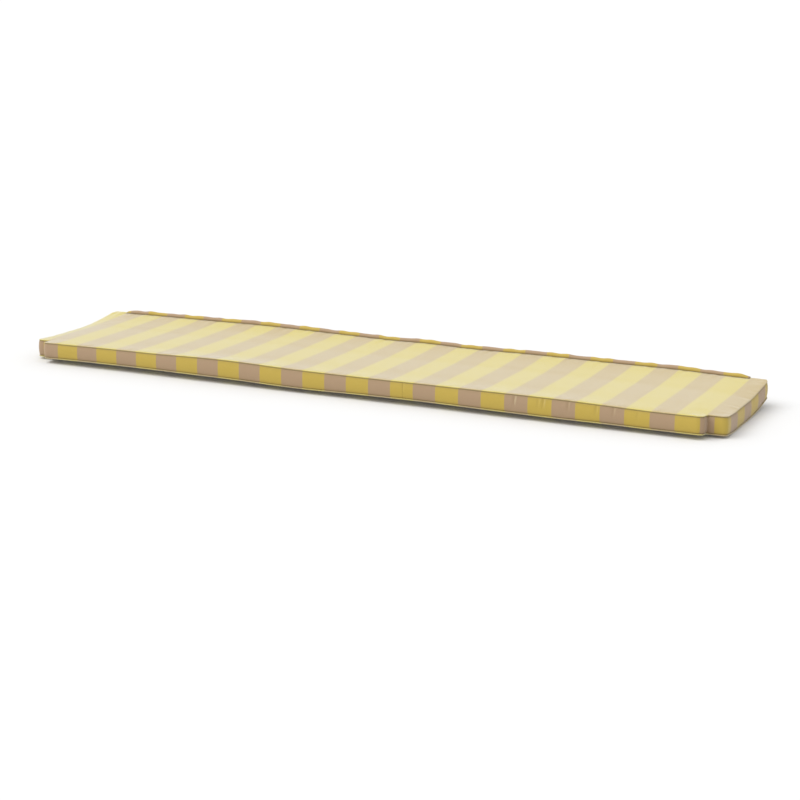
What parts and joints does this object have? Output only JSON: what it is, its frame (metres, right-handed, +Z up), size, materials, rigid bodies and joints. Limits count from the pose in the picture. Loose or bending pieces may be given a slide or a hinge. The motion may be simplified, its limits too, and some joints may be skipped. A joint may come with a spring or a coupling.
{
  "type": "bench cushion",
  "caption": "Long boxed cushion for a bench seat, filled and slightly crowned, with front corners cut out to clear arm posts.",
  "frame": {"origin": "middle of the cushion's box at the level of its flat underside", "axes": "+X along the length, towards the end that is on the right when seen from the front, +Y from the front edge to the back edge, +Z up"},
  "size_m": [2.059, 0.4566, 0.0911],
  "materials": {
    "panel_cloth": "matte woven, yellow and beige stripes",
    "band_cloth": "matte woven, yellow and beige stripes"
  },
  "bodies": {
    "root": {"filled_pad": "panel_cloth", "band_left": "band_cloth", "band_right": "band_cloth", "band_back": "band_cloth"}
  },
  "joints": []
}
